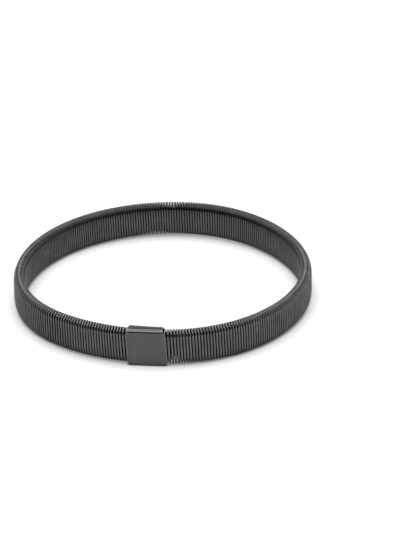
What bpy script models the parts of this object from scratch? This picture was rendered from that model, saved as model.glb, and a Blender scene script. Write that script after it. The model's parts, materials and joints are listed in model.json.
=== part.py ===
"""Stretch arm band: a flattened coil spring closed into a ring by one folded clasp.

Frame: the band lies flat, +Z up along the ring's axis, origin at the ring's
centre on the plane it rests on, clasp at -Y.  All lengths in metres.

The one long spring wire is modelled as short runs of turns.  Going round the
ring anticlockwise from the clasp, the joins between runs are, in turn, a
sliding join (the turns open up when the band is stretched) and a hinge join
(the band bends when it is squeezed to an oval).  Every join has its opposite
number half a turn away, which keeps the ring closed at every stretch and
every squeeze.
"""
import math

import bmesh
import bpy
from mathutils import Matrix, Vector

# ---------------------------------------------------------------- dimensions
BAND_OD = 0.0900          # outside diameter of the relaxed ring
BAND_WIDTH = 0.0108       # height of the flattened coil
BAND_THICK = 0.0036       # radial thickness of the flattened coil
RIM_RADIUS = 0.0014       # rounding of the coil's upper and lower rims
COIL_LIFT = 0.0006        # the clasp's lower fold hangs this far below the coil
WIRE_D = 0.0008           # spring wire
CLASP_WIDTH = 0.0119      # along the ring
CLASP_THICK = 0.0044
CLASP_TALL = 0.0118
CLASP_LEAN_DEG = 3.5      # the clasp's side edges lean with the turns
FRONT_FLAP = 0.0026       # how far the front sheet reaches back over the top
SHEET = 0.0003            # clasp sheet thickness
FIT_GAP = 0.0003          # clearance between the clasp and the coil ends
MOUTH_X = 0.00625         # where the coil leaves the clasp, from its middle
RUN_GAP = 0.0004          # clearance between two runs of the coil
FIRST_HINGE_DEG = -68.0   # first hinge join after the clasp
COIL_END_IN = 0.0003      # inner ends of the two coil ends, from the middle
COIL_END_OUT = 0.0056     # outer ends of the two coil ends, from the middle
TONGUE_LEN = 0.0100
TONGUE_TALL = 0.0080
TONGUE_THICK = 0.0005
BEND_TOP = 0.0006         # outside bend radius of the clasp's upper front fold
BEND_BACK = 0.0009        # of its upper back fold
BEND_BOTTOM = 0.0009      # of the two bottom folds
RUNS = 47                 # runs of turns outside the clasp
CORNER_STEPS = 4          # facets on each rounded corner of the coil's section

R_MID = BAND_OD / 2 - BAND_THICK / 2
MID_Z = COIL_LIFT + BAND_WIDTH / 2
CLASP_Z = CLASP_TALL / 2
END_WIDTH = CLASP_TALL - 2 * (FIT_GAP + SHEET)      # the ends are squeezed
END_THICK = CLASP_THICK - 2 * (FIT_GAP + SHEET)     # by the clasp
MOUTH_DEG = math.degrees(math.asin(MOUTH_X / R_MID))
CLASP_Y = -R_MID * math.cos(math.radians(MOUTH_DEG))

STEEL = ((0.060, 0.060, 0.063, 1.0), 0.32, 1.0)
NICKEL = ((0.110, 0.110, 0.113, 1.0), 0.14, 1.0)
PLAIN = ((0.30, 0.30, 0.31, 1.0), 0.40, 1.0)


def join_angles():
    """Angles in degrees of the joins 1..RUNS+1, anticlockwise from the clasp."""
    half = (RUNS + 1) // 2
    hinges = half // 2
    first = FIRST_HINGE_DEG
    last = 90.0 - MOUTH_DEG
    pitch = (last - first) / (hinges - 1)
    angles = []
    for turn in (0.0, 180.0):
        for k in range(hinges):
            hinge = first + k * pitch
            slide = (-90.0 + MOUTH_DEG) if k == 0 else hinge - pitch / 2
            angles += [slide + turn, hinge + turn]
    return angles


def new_material(name, look):
    colour, rough, metal = look
    mat = bpy.data.materials.new(name)
    mat.use_nodes = True
    bsdf = mat.node_tree.nodes["Principled BSDF"]
    bsdf.inputs["Base Color"].default_value = colour
    bsdf.inputs["Roughness"].default_value = rough
    bsdf.inputs["Metallic"].default_value = metal
    mat.diffuse_color = colour
    return mat


def outline(width, thick):
    """Closed section of the coil in the local XZ plane, anticlockwise: a
    rectangle with well rounded corners."""
    r = RIM_RADIUS
    pts = []
    for quarter, (sx, sz) in enumerate(((1, 1), (-1, 1), (-1, -1), (1, -1))):
        cx, cz = sx * (thick / 2 - r), sz * (width / 2 - r)
        for k in range(CORNER_STEPS + 1):
            a = math.pi / 2 * (quarter + k / CORNER_STEPS)
            pts.append((cx + r * math.cos(a), cz + r * math.sin(a)))
    return pts


def loop_edges(bm, points):
    verts = [bm.verts.new((x, 0.0, z)) for x, z in points]
    edges = [bm.edges.new((verts[i], verts[(i + 1) % len(verts)]))
             for i in range(len(verts))]
    return verts, edges


def finish_mesh(bm, name, smooth_deg=40.0):
    bmesh.ops.recalc_face_normals(bm, faces=bm.faces[:])
    mesh = bpy.data.meshes.new(name)
    bm.to_mesh(mesh)
    bm.free()
    mesh.shade_smooth()
    mesh.set_sharp_from_angle(angle=math.radians(smooth_deg))
    return mesh


def wall(obj, thick):
    mod = obj.modifiers.new("wall", "SOLIDIFY")
    mod.thickness = thick
    mod.offset = -1.0
    mod.use_even_offset = True
    mod.use_rim = True
    return obj


def arc_run_mesh(name, span_deg):
    """Skin of one run of turns; origin at its first join, tangent along +Y."""
    trim = math.degrees(RUN_GAP / 2 / R_MID)
    bm = bmesh.new()
    verts, edges = loop_edges(bm, outline(BAND_WIDTH, BAND_THICK))
    centre = Vector((-R_MID, 0.0, 0.0))
    bmesh.ops.rotate(bm, verts=verts, cent=centre,
                     matrix=Matrix.Rotation(math.radians(trim), 3, "Z"))
    bmesh.ops.spin(bm, geom=verts + edges, cent=centre, axis=(0.0, 0.0, 1.0),
                   angle=math.radians(span_deg - 2 * trim),
                   steps=max(1, round(span_deg / 7.5)), use_duplicate=False)
    return finish_mesh(bm, name)


def straight_run_mesh(name, length):
    """Skin of a straight coil end, along +Y from its origin."""
    bm = bmesh.new()
    verts, edges = loop_edges(bm, outline(END_WIDTH, END_THICK))
    out = bmesh.ops.extrude_edge_only(bm, edges=edges)
    moved = [v for v in out["geom"] if isinstance(v, bmesh.types.BMVert)]
    bmesh.ops.translate(bm, verts=moved, vec=(0.0, length, 0.0))
    return finish_mesh(bm, name)


def clasp_profile():
    """Outside line of the folded sheet in YZ about the clasp's centre.

    It starts at the free edge of the front flap, runs forward over the top, down
    the front, under the coil, up the back and forward over the top again, to a
    free edge that faces the first one across a narrow slit."""
    half_t = CLASP_THICK / 2
    half_h = CLASP_TALL / 2
    pts = [(-half_t + FRONT_FLAP, half_h)]

    def bend(cy, cz, radius, start, stop, steps=5):
        for k in range(steps + 1):
            a = math.radians(start + (stop - start) * k / steps)
            pts.append((cy + radius * math.cos(a), cz + radius * math.sin(a)))

    bend(-half_t + BEND_TOP, half_h - BEND_TOP, BEND_TOP, 90.0, 180.0)
    bend(-half_t + BEND_BOTTOM, -half_h + BEND_BOTTOM, BEND_BOTTOM, 180.0, 270.0)
    bend(half_t - BEND_BOTTOM, -half_h + BEND_BOTTOM, BEND_BOTTOM, 270.0, 360.0)
    bend(half_t - BEND_BACK, half_h - BEND_BACK, BEND_BACK, 0.0, 90.0)
    pts.append((-half_t + FRONT_FLAP + FIT_GAP, half_h))
    return pts


def clasp_mesh(name):
    bm = bmesh.new()
    verts = [bm.verts.new((-CLASP_WIDTH / 2, y, z)) for y, z in clasp_profile()]
    edges = [bm.edges.new((verts[i], verts[i + 1])) for i in range(len(verts) - 1)]
    out = bmesh.ops.extrude_edge_only(bm, edges=edges)
    moved = [v for v in out["geom"] if isinstance(v, bmesh.types.BMVert)]
    bmesh.ops.translate(bm, verts=moved, vec=(CLASP_WIDTH, 0.0, 0.0))
    lean = math.tan(math.radians(CLASP_LEAN_DEG))
    for v in bm.verts:
        v.co.x -= lean * v.co.z
    bm.normal_update()
    # The sheet's faces look away from the coil, so the wall goes inwards.
    front = min(bm.faces, key=lambda f: f.calc_center_median().y)
    if front.normal.y > 0:
        bmesh.ops.reverse_faces(bm, faces=bm.faces[:])
    mesh = bpy.data.meshes.new(name)
    bm.to_mesh(mesh)
    bm.free()
    mesh.shade_smooth()
    mesh.set_sharp_from_angle(angle=math.radians(30.0))
    return mesh


def place(parts, name, mesh, look, location, turn_deg):
    obj = bpy.data.objects.new(name, mesh)
    obj.location = location
    obj.rotation_euler = (0.0, 0.0, math.radians(turn_deg))
    parts.objects.link(obj)
    if not mesh.materials:
        mesh.materials.append(None)
    obj.material_slots[0].link = "OBJECT"
    obj.material_slots[0].material = new_material(name + "_finish", look)
    return obj


def on_ring(angle_deg):
    a = math.radians(angle_deg)
    return Vector((R_MID * math.cos(a), R_MID * math.sin(a), MID_Z))


def build():
    for old in list(bpy.data.objects):
        bpy.data.objects.remove(old, do_unlink=True)
    parts = bpy.data.collections.new("stretch_arm_band")
    bpy.context.scene.collection.children.link(parts)

    # The clasp and what it holds.
    centre = Vector((0.0, CLASP_Y, CLASP_Z))
    shell = place(parts, "clasp_shell", clasp_mesh("clasp_shell"), NICKEL, centre, 0.0)
    wall(shell, SHEET)

    bpy.ops.mesh.primitive_cube_add(size=1.0, location=centre)
    tongue = bpy.context.object
    for coll in list(tongue.users_collection):
        coll.objects.unlink(tongue)
    parts.objects.link(tongue)
    tongue.name = tongue.data.name = "joining_tongue"
    tongue.data.transform(Matrix.Diagonal((TONGUE_LEN, TONGUE_THICK, TONGUE_TALL, 1.0)))
    corner = tongue.modifiers.new("corners", "BEVEL")
    corner.width = 0.0001
    corner.segments = 1
    tongue.data.materials.append(new_material("joining_tongue_finish", PLAIN))

    length = COIL_END_OUT - COIL_END_IN
    end_mesh = straight_run_mesh("coil_end", length)
    # Straight ends run along local +Y, so they are turned onto the X axis.
    for name, x0 in (("coil_end_right", COIL_END_IN), ("coil_end_left", -COIL_END_OUT)):
        wall(place(parts, name, end_mesh, STEEL,
                   Vector((x0, CLASP_Y, CLASP_Z)), -90.0), WIRE_D)

    # The runs of turns, each with its origin on the join at its clasp side.
    angles = join_angles()
    shared = {}
    for k in range(RUNS):
        span = round(angles[k + 1] - angles[k], 6)
        if span not in shared:
            shared[span] = arc_run_mesh("coil_run_%d_deg" % round(span), span)
        wall(place(parts, "coil_run_%02d" % (k + 1), shared[span], STEEL,
                   on_ring(angles[k]), angles[k]), WIRE_D)


build()
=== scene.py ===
import json
import math

import bmesh
import bpy
import numpy as np
from mathutils import Matrix, Vector

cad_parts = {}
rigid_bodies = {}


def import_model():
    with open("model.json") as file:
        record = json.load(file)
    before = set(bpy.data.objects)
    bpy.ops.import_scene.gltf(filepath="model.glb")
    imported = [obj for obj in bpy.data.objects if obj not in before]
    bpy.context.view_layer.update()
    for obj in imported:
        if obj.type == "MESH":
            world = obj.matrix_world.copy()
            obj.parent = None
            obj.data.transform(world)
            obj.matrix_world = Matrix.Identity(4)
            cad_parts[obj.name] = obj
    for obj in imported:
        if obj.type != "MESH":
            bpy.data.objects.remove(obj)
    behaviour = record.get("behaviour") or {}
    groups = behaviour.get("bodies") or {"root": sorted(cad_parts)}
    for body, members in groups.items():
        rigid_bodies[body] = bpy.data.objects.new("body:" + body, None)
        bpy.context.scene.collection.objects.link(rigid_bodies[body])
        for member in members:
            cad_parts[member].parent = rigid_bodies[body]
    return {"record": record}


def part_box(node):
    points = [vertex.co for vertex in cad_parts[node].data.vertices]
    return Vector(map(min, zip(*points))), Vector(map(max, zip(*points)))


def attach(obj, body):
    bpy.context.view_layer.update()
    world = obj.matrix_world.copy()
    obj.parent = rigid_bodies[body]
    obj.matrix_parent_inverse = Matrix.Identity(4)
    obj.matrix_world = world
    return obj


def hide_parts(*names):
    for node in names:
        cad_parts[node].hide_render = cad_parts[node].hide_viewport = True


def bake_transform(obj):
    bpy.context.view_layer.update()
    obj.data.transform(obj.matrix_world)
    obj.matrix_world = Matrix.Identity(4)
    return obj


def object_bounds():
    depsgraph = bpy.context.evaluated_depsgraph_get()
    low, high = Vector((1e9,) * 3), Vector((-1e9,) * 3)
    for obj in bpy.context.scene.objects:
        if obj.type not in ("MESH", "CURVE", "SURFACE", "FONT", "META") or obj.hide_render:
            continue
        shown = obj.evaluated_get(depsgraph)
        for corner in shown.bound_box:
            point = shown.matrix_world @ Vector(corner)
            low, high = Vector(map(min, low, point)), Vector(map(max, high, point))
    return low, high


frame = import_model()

CAD_LO, CAD_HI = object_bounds()

# ------------------------------------------------------------ from the frame
record = frame["record"]
joints = record["behaviour"]["joints"]
hinges = [j for j in joints if j["type"] == "hinge"]
SAG = 0.00016                               # the soft coil rests this much below the CAD ring
MID_Z = hinges[0]["pos_m"][2] - SAG
R_MID = math.hypot(*hinges[0]["pos_m"][:2])
run_lo, run_hi = [Vector(c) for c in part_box("coil_run_12")]
BAND_WIDTH = run_hi.z - run_lo.z
CLASP_LO, CLASP_HI = [Vector(c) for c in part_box("clasp_shell")]
CLASP_C = (CLASP_LO + CLASP_HI) / 2
BAND_THICK = 2 * (CAD_HI[0] - R_MID)
RIM_RADIUS = 0.0014
HINGE_DEG = [math.degrees(math.atan2(j["pos_m"][1], j["pos_m"][0])) % 360 for j in hinges]
HINGE_DEG = [a - 360 if a > 280 else a for a in HINGE_DEG]          # -68 ... 248
MOUTH_X = R_MID * math.cos(math.radians(HINGE_DEG[11]))
RIGHT_MOUTH = -HINGE_DEG[11]                                        # -81.8
LEFT_MOUTH = 180 + HINGE_DEG[11]                                    # 261.8

WIRE = 0.00082
TUBE_SIDES = 12
rng = np.random.default_rng(7)


# ------------------------------------------------------------------ materials
def nodes_of(mat):
    mat.use_nodes = True
    nt = mat.node_tree
    return nt, nt.nodes["Principled BSDF"]


def add(nt, kind, **props):
    n = nt.nodes.new(kind)
    for k, v in props.items():
        setattr(n, k, v)
    return n


def ramp(nt, fac, stops):
    r = add(nt, "ShaderNodeValToRGB")
    cr = r.color_ramp
    while len(cr.elements) < len(stops):
        cr.elements.new(0.5)
    for e, (pos, col) in zip(cr.elements, stops):
        e.position = pos
        e.color = col if len(col) == 4 else (*col, 1.0)
    nt.links.new(fac, r.inputs["Fac"])
    return r


def wire_material():
    """Black nickel on drawn spring wire: fine lines along the wire, a slightly
    cloudy plating, and a paler rub where the turns touch cloth and skin,
    with painted shade between the turns and on the inside and a painted
    highlight on the upper rim."""
    mat = bpy.data.materials.new("coil_wire_black_nickel")
    nt, bsdf = nodes_of(mat)
    uv = add(nt, "ShaderNodeUVMap", uv_map="wire_uv")
    geo = add(nt, "ShaderNodeTexCoord")

    # drawn lines: long along the wire, narrow round it
    m = add(nt, "ShaderNodeMapping")
    m.inputs["Scale"].default_value = (60.0, 14.0, 1.0)
    nt.links.new(uv.outputs["UV"], m.inputs["Vector"])
    lines = add(nt, "ShaderNodeTexNoise")
    lines.inputs["Scale"].default_value = 1.0
    lines.inputs["Detail"].default_value = 3.0
    lines.inputs["Roughness"].default_value = 0.6
    nt.links.new(m.outputs["Vector"], lines.inputs["Vector"])

    cloud = add(nt, "ShaderNodeTexNoise")
    cloud.inputs["Scale"].default_value = 260.0
    cloud.inputs["Detail"].default_value = 4.0
    nt.links.new(geo.outputs["Object"], cloud.inputs["Vector"])

    speck = add(nt, "ShaderNodeTexNoise")
    speck.inputs["Scale"].default_value = 2600.0
    speck.inputs["Detail"].default_value = 2.0
    nt.links.new(geo.outputs["Object"], speck.inputs["Vector"])

    base = ramp(nt, cloud.outputs["Fac"], [
        (0.30, (0.094, 0.094, 0.095)), (0.55, (0.111, 0.111, 0.112)), (0.75, (0.128, 0.128, 0.128))])
    rub = ramp(nt, lines.outputs["Fac"], [(0.62, (0, 0, 0)), (0.80, (1, 1, 1))])
    rub_amount = add(nt, "ShaderNodeMath", operation="MULTIPLY")
    rub_amount.inputs[1].default_value = 0.30
    nt.links.new(rub.outputs["Color"], rub_amount.inputs[0])
    mix = add(nt, "ShaderNodeMix", data_type="RGBA")
    mix.inputs["B"].default_value = (0.160, 0.158, 0.155, 1.0)
    nt.links.new(rub_amount.outputs[0], mix.inputs["Factor"])
    nt.links.new(base.outputs["Color"], mix.inputs["A"])

    # painted shade between the turns: the colour fades almost to black on the wire's sides and inner side, where
    # the turns touch, and stays full on the crests
    across = add(nt, "ShaderNodeSeparateXYZ")
    nt.links.new(uv.outputs["UV"], across.inputs[0])
    angle = add(nt, "ShaderNodeMath", operation="MULTIPLY")
    angle.inputs[1].default_value = 2 * math.pi
    nt.links.new(across.outputs["Y"], angle.inputs[0])
    facing = add(nt, "ShaderNodeMath", operation="COSINE")
    nt.links.new(angle.outputs[0], facing.inputs[0])
    crest_and_valley_shade = add(nt, "ShaderNodeMapRange", interpolation_type="SMOOTHSTEP")
    crest_and_valley_shade.inputs["From Min"].default_value = 0.50
    crest_and_valley_shade.inputs["From Max"].default_value = 0.97
    crest_and_valley_shade.inputs["To Min"].default_value = 0.02
    crest_and_valley_shade.inputs["To Max"].default_value = 1.0
    nt.links.new(facing.outputs[0], crest_and_valley_shade.inputs["Value"])
    # painted shade on the side against the skin, deepest under the upper rim round the back
    skin = add(nt, "ShaderNodeAttribute", attribute_name="inside_painted_shade", attribute_type="GEOMETRY")
    painted_inside_shade = add(nt, "ShaderNodeMath", operation="MULTIPLY_ADD")
    painted_inside_shade.inputs[1].default_value = -0.16
    painted_inside_shade.inputs[2].default_value = 1.0
    nt.links.new(skin.outputs["Fac"], painted_inside_shade.inputs[0])
    # painted highlight: the upward-facing upper rim is made brighter than the faces
    rim_highlight_attr = add(nt, "ShaderNodeAttribute", attribute_name="painted_rim_highlight", attribute_type="GEOMETRY")
    rim_highlight_gain = add(nt, "ShaderNodeMath", operation="MULTIPLY_ADD")
    rim_highlight_gain.inputs[1].default_value = 0.55
    rim_highlight_gain.inputs[2].default_value = 1.0
    nt.links.new(rim_highlight_attr.outputs["Fac"], rim_highlight_gain.inputs[0])
    painted_rim_and_inside = add(nt, "ShaderNodeMath", operation="MULTIPLY")
    nt.links.new(painted_inside_shade.outputs[0], painted_rim_and_inside.inputs[0])
    nt.links.new(rim_highlight_gain.outputs[0], painted_rim_and_inside.inputs[1])
    shade = add(nt, "ShaderNodeMath", operation="MULTIPLY")
    nt.links.new(crest_and_valley_shade.outputs["Result"], shade.inputs[0])
    nt.links.new(painted_rim_and_inside.outputs[0], shade.inputs[1])
    # the base colour scaled by the painted shade and painted highlight
    painted_base = add(nt, "ShaderNodeVectorMath", operation="SCALE")
    nt.links.new(mix.outputs["Result"], painted_base.inputs[0])
    nt.links.new(shade.outputs[0], painted_base.inputs["Scale"])
    nt.links.new(painted_base.outputs["Vector"], bsdf.inputs["Base Color"])

    rough = ramp(nt, speck.outputs["Fac"], [(0.25, (0.17,) * 3), (0.60, (0.23,) * 3), (0.80, (0.31,) * 3)])
    nt.links.new(rough.outputs["Color"], bsdf.inputs["Roughness"])
    bump = add(nt, "ShaderNodeBump")
    bump.inputs["Strength"].default_value = 0.12
    bump.inputs["Distance"].default_value = 0.00002
    nt.links.new(lines.outputs["Fac"], bump.inputs["Height"])
    nt.links.new(bump.outputs["Normal"], bsdf.inputs["Normal"])
    bsdf.inputs["Metallic"].default_value = 1.0
    bsdf.inputs["Specular Tint"].default_value = (0.55, 0.55, 0.55, 1.0)
    return mat


def clasp_material():
    """Glossy black nickel on stamped sheet: almost a mirror, with a faint
    haze, hairline scratches and paler plating on the folds and cut edges,
    which is partly rubbed wear and partly a painted highlight."""
    mat = bpy.data.materials.new("clasp_black_nickel")
    nt, bsdf = nodes_of(mat)
    geo = add(nt, "ShaderNodeTexCoord")
    haze = add(nt, "ShaderNodeTexNoise")
    haze.inputs["Scale"].default_value = 420.0
    haze.inputs["Detail"].default_value = 5.0
    nt.links.new(geo.outputs["Object"], haze.inputs["Vector"])
    grain = add(nt, "ShaderNodeTexNoise")
    grain.inputs["Scale"].default_value = 5200.0
    grain.inputs["Detail"].default_value = 2.0
    nt.links.new(geo.outputs["Object"], grain.inputs["Vector"])

    # hairline scratches: two stretched noises at different slants
    marks = []
    for turn, stretch in ((0.5, (900.0, 900.0, 26.0)), (-0.9, (700.0, 700.0, 18.0))):
        m = add(nt, "ShaderNodeMapping")
        m.inputs["Rotation"].default_value = (0.0, turn, 0.0)
        m.inputs["Scale"].default_value = stretch
        nt.links.new(geo.outputs["Object"], m.inputs["Vector"])
        n = add(nt, "ShaderNodeTexNoise")
        n.inputs["Scale"].default_value = 1.0
        n.inputs["Detail"].default_value = 1.0
        nt.links.new(m.outputs["Vector"], n.inputs["Vector"])
        marks.append(ramp(nt, n.outputs["Fac"], [(0.685, (0, 0, 0)), (0.72, (1, 1, 1))]))
    scratch = add(nt, "ShaderNodeMath", operation="MAXIMUM")
    nt.links.new(marks[0].outputs["Color"], scratch.inputs[0])
    nt.links.new(marks[1].outputs["Color"], scratch.inputs[1])

    # paler cut edges: partly rubbed wear, partly a painted highlight
    edge = add(nt, "ShaderNodeAttribute", attribute_name="edge_wear_and_highlight", attribute_type="GEOMETRY")
    edge_rub_and_highlight = add(nt, "ShaderNodeMath", operation="MULTIPLY")
    nt.links.new(edge.outputs["Fac"], edge_rub_and_highlight.inputs[0])
    nt.links.new(haze.outputs["Fac"], edge_rub_and_highlight.inputs[1])

    base = ramp(nt, haze.outputs["Fac"], [(0.30, (0.071, 0.071, 0.072)), (0.70, (0.080, 0.080, 0.081))])
    mix = add(nt, "ShaderNodeMix", data_type="RGBA")
    mix.inputs["B"].default_value = (0.25, 0.247, 0.243, 1.0)
    nt.links.new(edge_rub_and_highlight.outputs[0], mix.inputs["Factor"])
    nt.links.new(base.outputs["Color"], mix.inputs["A"])
    mix2 = add(nt, "ShaderNodeMix", data_type="RGBA")
    mix2.inputs["B"].default_value = (0.10, 0.10, 0.101, 1.0)
    lighten = add(nt, "ShaderNodeMath", operation="MULTIPLY")
    lighten.inputs[1].default_value = 0.35
    nt.links.new(scratch.outputs[0], lighten.inputs[0])
    nt.links.new(lighten.outputs[0], mix2.inputs["Factor"])
    nt.links.new(mix.outputs["Result"], mix2.inputs["A"])
    nt.links.new(mix2.outputs["Result"], bsdf.inputs["Base Color"])

    rough = ramp(nt, haze.outputs["Fac"], [(0.25, (0.085,) * 3), (0.75, (0.15,) * 3)])
    more = add(nt, "ShaderNodeMath", operation="MULTIPLY_ADD")
    more.inputs[1].default_value = 0.12
    nt.links.new(scratch.outputs[0], more.inputs[0])
    nt.links.new(rough.outputs["Color"], more.inputs[2])
    nt.links.new(more.outputs[0], bsdf.inputs["Roughness"])

    bump = add(nt, "ShaderNodeBump")
    bump.inputs["Strength"].default_value = 0.06
    bump.inputs["Distance"].default_value = 0.00001
    nt.links.new(grain.outputs["Fac"], bump.inputs["Height"])
    bump2 = add(nt, "ShaderNodeBump", invert=True)
    bump2.inputs["Strength"].default_value = 0.15
    bump2.inputs["Distance"].default_value = 0.000006
    nt.links.new(scratch.outputs[0], bump2.inputs["Height"])
    nt.links.new(bump.outputs["Normal"], bump2.inputs["Normal"])
    nt.links.new(bump2.outputs["Normal"], bsdf.inputs["Normal"])
    bsdf.inputs["Metallic"].default_value = 1.0
    bsdf.inputs["Specular Tint"].default_value = (0.35, 0.35, 0.35, 1.0)
    return mat


def strip_material():
    """Plain cold-rolled strip for the hidden tongue."""
    mat = bpy.data.materials.new("tongue_strip_steel")
    nt, bsdf = nodes_of(mat)
    geo = add(nt, "ShaderNodeTexCoord")
    m = add(nt, "ShaderNodeMapping")
    m.inputs["Scale"].default_value = (40.0, 1200.0, 1200.0)
    nt.links.new(geo.outputs["Object"], m.inputs["Vector"])
    n = add(nt, "ShaderNodeTexNoise")
    n.inputs["Scale"].default_value = 1.0
    n.inputs["Detail"].default_value = 4.0
    nt.links.new(m.outputs["Vector"], n.inputs["Vector"])
    base = ramp(nt, n.outputs["Fac"], [(0.3, (0.27, 0.27, 0.28)), (0.7, (0.34, 0.34, 0.345))])
    rough = ramp(nt, n.outputs["Fac"], [(0.3, (0.30,) * 3), (0.7, (0.42,) * 3)])
    nt.links.new(base.outputs["Color"], bsdf.inputs["Base Color"])
    nt.links.new(rough.outputs["Color"], bsdf.inputs["Roughness"])
    bsdf.inputs["Metallic"].default_value = 1.0
    return mat


WIRE_MAT = wire_material()
CLASP_MAT = clasp_material()
STRIP_MAT = strip_material()

# ---------------------------------------------------------------- coil of wire
# Centre line of the band: straight inside the clasp, round outside it.
SOFT = 0.0011            # the bend at the clasp's mouth is spread over this


# A flexible coil never lies as a perfect circle: slight waves in radius and in
# height, nothing at the clasp.  Pairs of (1 - cos k, sin k) terms, metres.
WAVE_R = [(-0.000267, -0.000008), (-0.000048, -0.000064), (0.000311, 0.000149),
          (0.000068, 0.000122), (-0.000048, 0.000127)]
WAVE_Z = [(0.000055, 0.000010), (-0.000040, -0.000039), (0.000048, -0.000005),
          (-0.000090, -0.000034)]


def wave(terms, ph):
    return sum(a * (1 - math.cos((k + 1) * ph)) + b * math.sin((k + 1) * ph)
               for k, (a, b) in enumerate(terms))


def sway(s):
    """How far the band's middle is out and up from the even ring at length s."""
    total = math.radians(LEFT_MOUTH - RIGHT_MOUTH) * R_MID
    mouth = math.radians(90 + RIGHT_MOUTH)
    if s < 0:
        ph = mouth * max(0.0, 1 + s / MOUTH_X)
    elif s > total:
        ph = 2 * math.pi - mouth * max(0.0, 1 - (s - total) / MOUTH_X)
    else:
        ph = mouth + s / R_MID
    return wave(WAVE_R, ph), wave(WAVE_Z, ph)


def grip(s):
    """1 where the clasp squeezes the coil, 0 outside its mouths."""
    total = math.radians(LEFT_MOUTH - RIGHT_MOUTH) * R_MID
    depth = max(-s, s - total)
    u = min(1.0, max(0.0, depth / 0.0012))
    return u * u * (3 - 2 * u)


def ring_point(s):
    """Point, direction of travel and outward direction at length s along the
    coil's middle, s = 0 at the clasp's right mouth."""
    total = math.radians(LEFT_MOUTH - RIGHT_MOUTH) * R_MID

    def on_arc(x):
        a = math.radians(RIGHT_MOUTH) + x / R_MID
        return (np.array([R_MID * math.cos(a), R_MID * math.sin(a)]),
                np.array([-math.sin(a), math.cos(a)]))

    def straight(x):                     # x < 0 right of the clasp's middle
        return np.array([MOUTH_X + x, CLASP_C.y]), np.array([1.0, 0.0])

    def straight_left(x):                # x > 0 past the left mouth
        return np.array([-MOUTH_X + x, CLASP_C.y]), np.array([1.0, 0.0])

    def soften(x, before, after, mouth):
        if x < -SOFT:
            p, t = before(x)
        elif x > SOFT:
            p, t = after(x)
        else:
            p0, p2 = before(-SOFT)[0], after(SOFT)[0]
            u = (x + SOFT) / (2 * SOFT)
            p = (1 - u) ** 2 * p0 + 2 * u * (1 - u) * mouth + u * u * p2
            t = (1 - u) * (mouth - p0) + u * (p2 - mouth)
            t = t / np.linalg.norm(t)
        return p, t

    if s < total / 2:
        p, t = soften(s, straight, on_arc, np.array([MOUTH_X, CLASP_C.y]))
    else:
        p, t = soften(s - total, lambda x: on_arc(total + x), straight_left,
                      np.array([-MOUTH_X, CLASP_C.y]))
    return p, t, np.array([t[1], -t[0]])


# Section of the flattened coil, on the wire's middle: two flat faces that run
# into half-elliptic rims, taller than they are wide.
HALF_OUT = (BAND_THICK - WIRE) / 2
HALF_UP = (BAND_WIDTH + 0.0003 - WIRE) / 2
RIM_TALL = 0.00250                           # height of a rim's half ellipse
FLAT = HALF_UP - RIM_TALL                    # half height of the flat face
HZ = HALF_UP - 0.0012
RIM_STEPS, FACE_STEPS = 8, 6


def section_points():
    """Place (out, up) and outward direction at the steps of one turn, from the
    lower rim's middle up the inside, over, and down the outside; then the
    length run at each step and round the whole turn."""
    pts = []

    def quarter(t0, t1, side):
        for k in range(RIM_STEPS):
            t = math.radians(t0 + (t1 - t0) * k / RIM_STEPS)
            n = math.hypot(RIM_TALL * math.cos(t), HALF_OUT * math.sin(t))
            pts.append((HALF_OUT * math.cos(t), side * FLAT + RIM_TALL * math.sin(t),
                        RIM_TALL * math.cos(t) / n, HALF_OUT * math.sin(t) / n))

    def face(side):
        for k in range(FACE_STEPS):
            pts.append((side * HALF_OUT, side * (FLAT - 2 * FLAT * k / FACE_STEPS), side, 0.0))

    quarter(-90, -180, -1)
    face(-1.0)
    quarter(180, 90, 1)
    quarter(90, 0, 1)
    face(1.0)
    quarter(0, -90, -1)
    pts = np.array(pts)
    ring = np.vstack([pts[:, :2], pts[:1, :2]])
    run = np.concatenate([[0], np.cumsum(np.linalg.norm(np.diff(ring, axis=0), axis=1))])
    return pts, run[:-1], float(run[-1])


SECTION, STEP_L, LOOP = section_points()
STEPS = len(STEP_L)
# The rim's share of a turn, as far as the wire leans back over it.
CAP = 2 * float(np.interp(math.radians(62), np.radians(np.arange(0, 91, 90 / RIM_STEPS)),
                          STEP_L[:RIM_STEPS + 1]))
FACE = LOOP / 2 - CAP
# Advance of the wire along the band down a flat face, at angles round the
# ring from the clasp's right mouth: the turns stand a little differently
# wherever the coil was pulled about.
LEAN_AT = [-85, -60, -35, -10, 60, 95, 130, 165, 200, 225, 265]
LEAN_BY = [0.00028, 0.00031, 0.00018, 0.00004, -0.00012, 0.00028, 0.00026, 0.00004, -0.00006, 0.00010, 0.00034]


def turn_table(pitch, face_lean):
    """Advance along the band at the ends of the rims and faces of one turn,
    from the middle of the lower rim, over the inside, the upper rim and down
    the outside.  The wire leans forward on both faces and back on both rims."""
    cap_adv = pitch / 2 - face_lean
    knots_l = np.array([0, CAP / 2, CAP / 2 + FACE, CAP * 1.5 + FACE, CAP * 1.5 + 2 * FACE, LOOP])
    knots_s = np.array([0, cap_adv / 2, cap_adv / 2 + face_lean, cap_adv * 1.5 + face_lean,
                        cap_adv * 1.5 + 2 * face_lean, pitch])
    return knots_l, knots_s


# Turns between one join and the next, anticlockwise from the clasp's right
# mouth.  The coil is drawn tighter at the back of the ring and looser left of
# the clasp.  Every piece holds whole or half turns, so its ends are on the
# join's axis, at the lower or the upper rim.
TURNS = ([12] * 12 + [27]
         + [12, 12, 12, 12, 12, 12, 12, 11.5, 10.5, 11.5, 12])
IN_CLASP = 5.5
arc = lambda deg: math.radians(deg - RIGHT_MOUTH) * R_MID
cuts = [-0.0049, 0.0] + [arc(a) for a in HINGE_DEG] + [arc(LEFT_MOUTH), arc(LEFT_MOUTH) + 0.0049]
turns = [IN_CLASP] + TURNS + [IN_CLASP]
total_turns = [0.0]
for t in turns:
    total_turns.append(total_turns[-1] + t)
KN, KS = np.array(total_turns, float), np.array(cuts)


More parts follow.
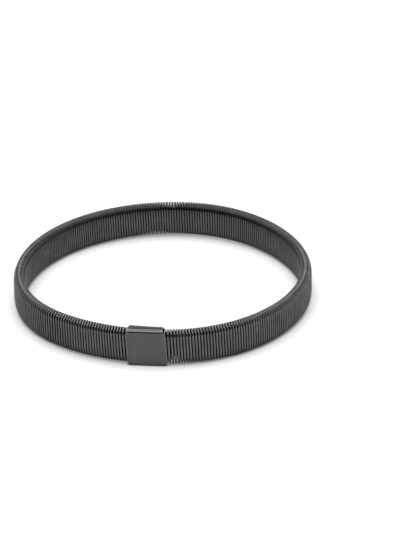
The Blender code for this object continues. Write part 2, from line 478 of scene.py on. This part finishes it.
def pchip(x, y, q):
    """Monotone cubic through the points, so the pitch changes gently."""
    h = np.diff(x)
    d = np.diff(y) / h
    m = np.zeros_like(y)
    m[0], m[-1] = d[0], d[-1]
    for k in range(1, len(x) - 1):
        w1, w2 = 2 * h[k] + h[k - 1], h[k] + 2 * h[k - 1]
        m[k] = (w1 + w2) / (w1 / d[k - 1] + w2 / d[k]) if d[k - 1] * d[k] > 0 else 0.0
    i = np.clip(np.searchsorted(x, q, side="right") - 1, 0, len(h) - 1)
    t = (q - x[i]) / h[i]
    return ((2 * t ** 3 - 3 * t ** 2 + 1) * y[i] + (t ** 3 - 2 * t ** 2 + t) * h[i] * m[i]
            + (-2 * t ** 3 + 3 * t ** 2) * y[i + 1] + (t ** 3 - t ** 2) * h[i] * m[i + 1])


N_TOTAL = int(total_turns[-1])
# Small unevenness of each turn: a slight shift and a slight extra lean, both
# smooth from turn to turn.
wobble = np.convolve(rng.normal(0, 1, N_TOTAL + 9), np.ones(3) / 3, "same")
tilt = np.convolve(rng.normal(0, 1, N_TOTAL + 9), np.ones(4) / 4, "same")


def wire_piece(name, n0, n1):
    """Wire from turn n0 to turn n1 as one closed tube; each is whole or half."""
    first_step = round(n0 * STEPS)
    count = round((n1 - n0) * STEPS) + 1
    centre = np.zeros((count, 3))
    outward = np.zeros((count, 3))
    turn_no = np.zeros(count)
    girth = np.ones(count)
    inside_painted_shade = np.zeros(count)
    painted_rim_highlight = np.zeros(count)
    for i in range(count):
        n, k = divmod(first_step + i, STEPS)
        l = STEP_L[k]
        frac = l / LOOP
        q = n + frac
        s = float(pchip(KN, KS, np.array([q]))[0])
        local_pitch = float(pchip(KN, KS, np.array([n + 1.0]))[0] - pchip(KN, KS, np.array([float(n)]))[0]) \
            if n < N_TOTAL else 0.0009
        ring_deg = RIGHT_MOUTH + math.degrees(s / R_MID)
        knots_l, knots_s = turn_table(local_pitch, float(np.interp(ring_deg, LEAN_AT, LEAN_BY)))
        # soft corners where the wire turns from a face onto a rim
        soft = [np.interp((l + d) % LOOP, knots_l, knots_s) + (local_pitch if l + d >= LOOP else
                (-local_pitch if l + d < 0 else 0.0)) for d in (-0.0006, -0.0003, 0.0, 0.0003, 0.0006)]
        zig = float(np.mean(soft)) - local_pitch * frac
        zig0 = 0.0
        s += zig - zig0
        out, up, no, nu = SECTION[k]
        uneven = (wobble[n + 2] * (1 - frac) + wobble[n + 3] * frac) * math.sin(math.pi * frac) ** 2
        s += 0.000009 * uneven
        s += 0.000014 * (tilt[n + 2] * (1 - frac) + tilt[n + 3] * frac) * (up / HZ) * math.sin(math.pi * frac) ** 2
        inside = grip(s)
        out *= 1 - 0.11 * inside
        up *= 1 - 0.055 * inside
        p, t, o = ring_point(s)
        dr, dz = sway(s)
        centre[i] = (p[0] + o[0] * (out + dr), p[1] + o[1] * (out + dr), MID_Z + up + dz)
        outward[i] = (o[0] * no, o[1] * no, nu)
        rim = min(1.0, max(0.0, (abs(up) - HZ + 0.0002) / 0.0007))
        # the turns touch on the faces and stand a little apart over the rims
        girth[i] = min(1.10, 0.996 * local_pitch / WIRE) * (1 - 0.15 * rim * rim * (3 - 2 * rim))
        # painted highlight on the upward-facing part of the section, the upper rim
        painted_rim_highlight[i] = min(1.0, max(0.0, (nu - 0.08) / 0.35))
        turn_no[i] = q
        # painted shade on the inside, deepest under the upper rim round the back
        rear = min(1.0, max(0.0, (ring_deg - 5) / 25)) * min(1.0, max(0.0, (178 - ring_deg) / 25))
        under = min(1.0, max(0.0, (up - 0.0008) / 0.0030))
        inside_painted_shade[i] = min(1.0, max(0.0, 0.5 - 2.0 * no)) * (1 + 1.25 * rear * under * under * (3 - 2 * under))
    tangent = np.gradient(centre, axis=0)
    tangent /= np.linalg.norm(tangent, axis=1)[:, None]
    nrm = outward - (outward * tangent).sum(1)[:, None] * tangent
    nrm /= np.linalg.norm(nrm, axis=1)[:, None]
    bin_ = np.cross(tangent, nrm)
    ang = np.arange(TUBE_SIDES) * 2 * math.pi / TUBE_SIDES
    r = WIRE / 2
    ring = (centre[:, None, :] + r * (np.cos(ang)[None, :, None] * nrm[:, None, :]
            + np.sin(ang)[None, :, None] * (girth[:, None] * bin_)[:, None, :]))
    verts = ring.reshape(-1, 3)
    faces = []
    for i in range(count - 1):
        a, b = i * TUBE_SIDES, (i + 1) * TUBE_SIDES
        for k in range(TUBE_SIDES):
            k2 = (k + 1) % TUBE_SIDES
            faces.append((a + k, a + k2, b + k2, b + k))
    faces.append(tuple(range(TUBE_SIDES))[::-1])
    last = (count - 1) * TUBE_SIDES
    faces.append(tuple(last + k for k in range(TUBE_SIDES)))
    mesh = bpy.data.meshes.new(name)
    mesh.from_pydata(verts.tolist(), [], faces)
    length = np.concatenate([[0], np.cumsum(np.linalg.norm(np.diff(centre, axis=0), axis=1))])
    uv = mesh.uv_layers.new(name="wire_uv")
    data = []
    for i in range(count - 1):
        for k in range(TUBE_SIDES):
            u0, u1 = length[i], length[i + 1]
            v0, v1 = k / TUBE_SIDES, (k + 1) / TUBE_SIDES
            data += [u0 * 100, v0, u0 * 100, v1, u1 * 100, v1, u1 * 100, v0]
    data += [0.0, 0.0] * (2 * TUBE_SIDES)
    # per-vertex painted shade and painted highlight for the wire material
    mesh.attributes.new("inside_painted_shade", "FLOAT", "POINT").data.foreach_set(
        "value", np.repeat(inside_painted_shade, TUBE_SIDES).astype(np.float32))
    mesh.attributes.new("painted_rim_highlight", "FLOAT", "POINT").data.foreach_set(
        "value", np.repeat(painted_rim_highlight, TUBE_SIDES).astype(np.float32))
    uv.data.foreach_set("uv", np.array(data, np.float32))
    bm = bmesh.new()
    bm.from_mesh(mesh)
    bmesh.ops.recalc_face_normals(bm, faces=bm.faces[:])
    bm.to_mesh(mesh)
    bm.free()
    mesh.shade_smooth()
    mesh.set_sharp_from_angle(angle=math.radians(60))
    mesh.materials.append(WIRE_MAT)
    obj = bpy.data.objects.new(name, mesh)
    bpy.context.scene.collection.objects.link(obj)
    return obj, np.repeat(turn_no, TUBE_SIDES)


def even_blend(obj, n0, n1):
    """Bakes the piece's transform into its mesh; the points at turns n0 and n1 are worked out but not used."""
    lo, hi = ring_point(float(pchip(KN, KS, np.array([float(n0)]))[0]))[0], \
        ring_point(float(pchip(KN, KS, np.array([float(n1)]))[0]))[0]
    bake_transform(obj)


# cuts: 0 inside the clasp, 1 right mouth, 2.. hinges, then left mouth, inside
first, first_w = wire_piece("coil_turns_01", total_turns[0], total_turns[2])
even_blend(first, total_turns[1], total_turns[2])
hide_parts("coil_run_01", "coil_end_right")
n_hinge = len(HINGE_DEG)
for i in range(n_hinge):
    n0, n1 = total_turns[i + 2], total_turns[i + 3]
    a, b = 2 * (i + 1), 2 * (i + 1) + 1
    piece, w = wire_piece("coil_turns_%02d" % (i + 2), n0, n1)
    even_blend(piece, n0, n1)
    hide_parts("coil_run_%02d" % a, "coil_run_%02d" % b)
tail, _ = wire_piece("coil_turns_in_clasp", total_turns[-2], total_turns[-1])
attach(tail, "clasp")
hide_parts("coil_end_left")

# ---------------------------------------------------------------- folded clasp
SHEET = 0.0003
HALF_T = (CLASP_HI.y - CLASP_LO.y) / 2
HALF_H = (CLASP_HI.z - CLASP_LO.z) / 2
HALF_W = 0.0059
LEAN = math.tan(math.radians(3.3))          # the side edges lean with the turns
BEND_TOP = 0.00125
BEND_BACK = 0.00095
BEND_BOT = 0.0009
FRONT_FLAP = 0.0026
INSET = 0.00080                             # the folds are narrower than the plates


def clasp_rows():
    """Rows of the sheet's outside from the front flap's free edge, over the
    top, down the front, under, up the back and forward over the top to the
    slit.  Each row: y, z, outward normal (y, z), half width, how much the
    row's ends roll back, length so far."""
    rows = []

    def put(y, z, ny, nz, half, roll):
        if rows:
            d = math.hypot(y - rows[-1][0], z - rows[-1][1])
            if d < 1e-7:
                return
            rows.append((y, z, ny, nz, half, roll, rows[-1][6] + d))
        else:
            rows.append((y, z, ny, nz, half, roll, 0.0))

    def line(y0, z0, y1, z1, ny, nz, half, roll0, roll1, count):
        """half is a function of the share of the line that is done."""
        for k in range(count + 1):
            u = k / count
            put(y0 + (y1 - y0) * u, z0 + (z1 - z0) * u, ny, nz, half(u), roll0 + (roll1 - roll0) * u)

    def bend(cy, cz, r, a0, a1, half, roll0, roll1, count):
        for k in range(count + 1):
            u = k / count
            a = math.radians(a0 + (a1 - a0) * u)
            put(cy + r * math.cos(a), cz + r * math.sin(a), math.cos(a), math.sin(a),
                half(u), roll0 + (roll1 - roll0) * u)

    fold = HALF_W - INSET
    even = lambda h: (lambda u: h)
    between = lambda h0, h1: (lambda u: h0 + (h1 - h0) * u)
    # quarter-round shoulders where a plate narrows into a fold
    widen = lambda h0, h1: (lambda u: h0 + (h1 - h0) * math.sqrt(max(0.0, 1 - (1 - u) ** 2)))
    narrow = lambda h0, h1: (lambda u: h1 + (h0 - h1) * math.sqrt(max(0.0, 1 - u ** 2)))
    slit = -HALF_T + FRONT_FLAP
    # front flap, its rear corners clipped
    line(slit, HALF_H, slit - 0.0005, HALF_H, 0, 1, widen(fold - 0.0005, fold), 0.0, 0.0, 5)
    line(slit - 0.0005, HALF_H, -HALF_T + BEND_TOP, HALF_H, 0, 1, even(fold), 0.0, 0.0, 5)
    bend(-HALF_T + BEND_TOP, HALF_H - BEND_TOP, BEND_TOP, 90, 180, between(fold, fold + 0.0001), 0.0, 0.2, 9)
    top = HALF_H - BEND_TOP
    line(-HALF_T, top, -HALF_T, top - 0.0007, -1, 0, widen(fold + 0.0001, HALF_W), 0.2, 1.0, 7)
    line(-HALF_T, top - 0.0007, -HALF_T, -HALF_H + 0.0018, -1, 0, even(HALF_W), 1.0, 1.0, 16)
    line(-HALF_T, -HALF_H + 0.0018, -HALF_T, -HALF_H + BEND_BOT, -1, 0, even(HALF_W), 1.0, 0.8, 6)
    bend(-HALF_T + BEND_BOT, -HALF_H + BEND_BOT, BEND_BOT, 180, 270, even(HALF_W), 0.8, 0.0, 16)
    line(-HALF_T + BEND_BOT, -HALF_H, HALF_T - BEND_BOT, -HALF_H, 0, -1, even(HALF_W), 0.0, 0.0, 6)
    bend(HALF_T - BEND_BOT, -HALF_H + BEND_BOT, BEND_BOT, 270, 360, between(HALF_W, HALF_W - 0.0003), 0.0, 0.5, 12)
    # back plate
    line(HALF_T, -HALF_H + BEND_BOT, HALF_T, HALF_H - BEND_BACK - 0.0007, 1, 0, even(HALF_W - 0.0003), 0.5, 0.5, 14)
    line(HALF_T, HALF_H - BEND_BACK - 0.0007, HALF_T, HALF_H - BEND_BACK, 1, 0, narrow(HALF_W - 0.0003, fold), 0.5, 0.0, 6)
    bend(HALF_T - BEND_BACK, HALF_H - BEND_BACK, BEND_BACK, 0, 84, between(fold, fold - 0.0002), 0.0, 0.0, 9)
    line(HALF_T - BEND_BACK * 0.9, HALF_H - 0.00001, slit + 0.00015, HALF_H, 0, 1, even(fold - 0.0002), 0.0, 0.0, 5)
    return rows


def smooth(x):
    x = np.clip(x, 0.0, 1.0)
    return x * x * (3 - 2 * x)


def corner(low, size, power):
    """How much a plate is trimmed at height low over the underside: power 2 is
    a quarter round, power near 1 a clipped corner."""
    if low >= size:
        return 0.0
    d = 1 - low / size
    return size * (1 - (1 - d ** power) ** (1 / power)) * 0.85


def build_clasp():
    rows = clasp_rows()
    cols = 36
    us = np.sin(np.linspace(-math.pi / 2, math.pi / 2, cols + 1))      # closer near the sides
    us = 0.35 * us + 0.65 * np.linspace(-1, 1, cols + 1)
    bm = bmesh.new()
    edge_rub_and_highlight = bm.verts.layers.float.new("edge_wear_and_highlight")
    grid = []
    total = rows[-1][6]
    for j, (y, z, ny, nz, half, roll, run) in enumerate(rows):
        line_ = []
        low = z + HALF_H                     # height above the clasp's underside
        trim_l = corner(low, 0.00115, 2.0)
        trim_r = corner(low, 0.00125, 1.25)
        for u in us:
            x = u * half + trim_l * (1 - u) / 2 - trim_r * (1 + u) / 2
            side = (abs(x) - (HALF_W - 0.0010)) / 0.0010
            back = 0.00021 * roll * float(smooth(side)) + 0.00005 * roll * (x / HALF_W) ** 2
            # hand-closed: the back plate's free edge isn't quite level, and the
            # plates are very slightly dished
            near_end = smooth((run - (total - 0.0040)) / 0.0028)
            drop = (0.00024 + 0.00022 * (1 + x / HALF_W)) * float(near_end)
            yy = y - ny * back
            zz = z - nz * back - drop
            v = bm.verts.new((CLASP_C.x + 0.00005 + x - LEAN * z, CLASP_C.y + yy, CLASP_C.z + zz))
            # plating is rubbed paler along the cut edges, and the same band is a
            # painted highlight, most on the free edges of the flap and on the left side
            edge = (1.25 if x < 0 else 0.85) * max(0.0, 1 - (half - abs(x)) / 0.00040)
            edge = max(edge, 1.6 * (1 - run / 0.00050), 1 - (total - run) / 0.00035, 0.0)
            v[edge_rub_and_highlight] = edge
            line_.append(v)
        grid.append(line_)
    for j in range(len(grid) - 1):
        for k in range(cols):
            bm.faces.new((grid[j][k], grid[j][k + 1], grid[j + 1][k + 1], grid[j + 1][k]))
    bm.normal_update()
    front = min(bm.faces, key=lambda f: f.calc_center_median().y)
    if front.normal.y > 0:
        bmesh.ops.reverse_faces(bm, faces=bm.faces[:])
    mesh = bpy.data.meshes.new("clasp")
    bm.to_mesh(mesh)
    bm.free()
    obj = bpy.data.objects.new("clasp", mesh)
    bpy.context.scene.collection.objects.link(obj)
    solid = obj.modifiers.new("sheet", "SOLIDIFY")
    solid.thickness = SHEET
    solid.offset = -1.0
    solid.use_even_offset = True
    bevel = obj.modifiers.new("edges", "BEVEL")
    bevel.width = 0.00008
    bevel.segments = 3
    bevel.limit_method = "ANGLE"
    bevel.angle_limit = math.radians(50)
    bevel.harden_normals = False
    dg = bpy.context.evaluated_depsgraph_get()
    done = bpy.data.meshes.new_from_object(obj.evaluated_get(dg))
    obj.modifiers.clear()
    old = obj.data
    obj.data = done
    bpy.data.meshes.remove(old)
    done.name = "clasp"
    done.shade_smooth()
    done.set_sharp_from_angle(angle=math.radians(38))
    done.materials.clear()
    done.materials.append(CLASP_MAT)
    return obj


clasp = build_clasp()
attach(clasp, "clasp")
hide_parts("clasp_shell")

# ------------------------------------------------------------ carried-over CAD
for obj in bpy.data.objects:
    if obj.name == "joining_tongue" and obj.type == "MESH":
        for slot_ in obj.material_slots:
            slot_.material = STRIP_MAT
        if not obj.material_slots:
            obj.data.materials.append(STRIP_MAT)

# ---------------------------------------------------------------------- stage
bm = bmesh.new()
bmesh.ops.create_grid(bm, x_segments=1, y_segments=1, size=1.6)
floor_mesh = bpy.data.meshes.new("floor")
bm.to_mesh(floor_mesh)
bm.free()
floor = bpy.data.objects.new("floor", floor_mesh)
floor.location = (0.0, 0.0, CAD_LO[2] - 0.00002)
bpy.context.scene.collection.objects.link(floor)
floor_mat = bpy.data.materials.new("floor_white")
nt, bsdf = nodes_of(floor_mat)
bsdf.inputs["Base Color"].default_value = (0.92, 0.92, 0.92, 1.0)
bsdf.inputs["Roughness"].default_value = 0.9
bsdf.inputs["Specular IOR Level"].default_value = 0.1
floor_mesh.materials.append(floor_mat)

world = bpy.data.worlds.new("studio")
bpy.context.scene.world = world
world.use_nodes = True
wnt = world.node_tree
bg = wnt.nodes["Background"]
bg.inputs["Color"].default_value = (1.0, 1.0, 1.0, 1.0)
bg.inputs["Strength"].default_value = 0.07


def area(name, loc, target, size_x, size_y, power):
    light = bpy.data.lights.new(name, "AREA")
    light.shape = "RECTANGLE"
    light.size, light.size_y = size_x, size_y
    light.energy = power
    obj = bpy.data.objects.new(name, light)
    obj.location = loc
    obj.rotation_mode = "QUATERNION"
    obj.rotation_quaternion = (Vector(target) - Vector(loc)).to_track_quat("-Z", "Y")
    obj.visible_camera = False
    bpy.context.scene.collection.objects.link(obj)
    return obj


area("soft_overhead", (0.0, 0.05, 0.62), (0.0, 0.0, 0.0), 0.66, 0.50, 3.6)
area("soft_front", (0.0, -0.643, 0.766), (0.0, 0.0, 0.0), 0.72, 0.62, 5.0)
area("soft_back", (0.0, 0.75, 0.30), (0.0, 0.0, 0.06), 1.30, 0.60, 4.0)
area("soft_left", (-0.76, 0.14, 0.27), (0.0, 0.0, 0.06), 1.10, 0.52, 2.5)
area("soft_right", (0.76, 0.14, 0.27), (0.0, 0.0, 0.06), 1.10, 0.52, 2.5)

# --------------------------------------------------------------------- camera
cam_data = bpy.data.cameras.new("camera")
cam_data.sensor_width = 36.0
cam_data.lens = 3200.0 / 560.0 * 36.0
cam_data.clip_start, cam_data.clip_end = 0.01, 10.0
cam = bpy.data.objects.new("camera", cam_data)
bpy.context.scene.collection.objects.link(cam)
TURN = 6.0                                   # the clasp is this far left of the middle


def aim(x, y, z, yaw, pitch, roll):
    """Camera at x, y, z looking along +Y turned by yaw, down by pitch."""
    a = math.radians(TURN)
    pos = Vector((x * math.cos(a) - y * math.sin(a), x * math.sin(a) + y * math.cos(a), z))
    w, p, r = math.radians(yaw + TURN), math.radians(pitch), math.radians(roll)
    fwd = Vector((-math.sin(w) * math.cos(p), math.cos(w) * math.cos(p), -math.sin(p)))
    right = Vector((math.cos(w), math.sin(w), 0.0))
    up = right.cross(fwd)
    right2 = right * math.cos(r) + up * math.sin(r)
    up2 = up * math.cos(r) - right * math.sin(r)
    m = Matrix((right2, up2, -fwd)).transposed().to_4x4()
    m.translation = pos
    return m


cam.matrix_world = aim(0.01915, -0.86682, 0.43966, 0.341, 26.607, -0.997)
bpy.context.scene.camera = cam

bpy.context.scene.view_settings.view_transform = "Standard"

bpy.context.view_layer.update()
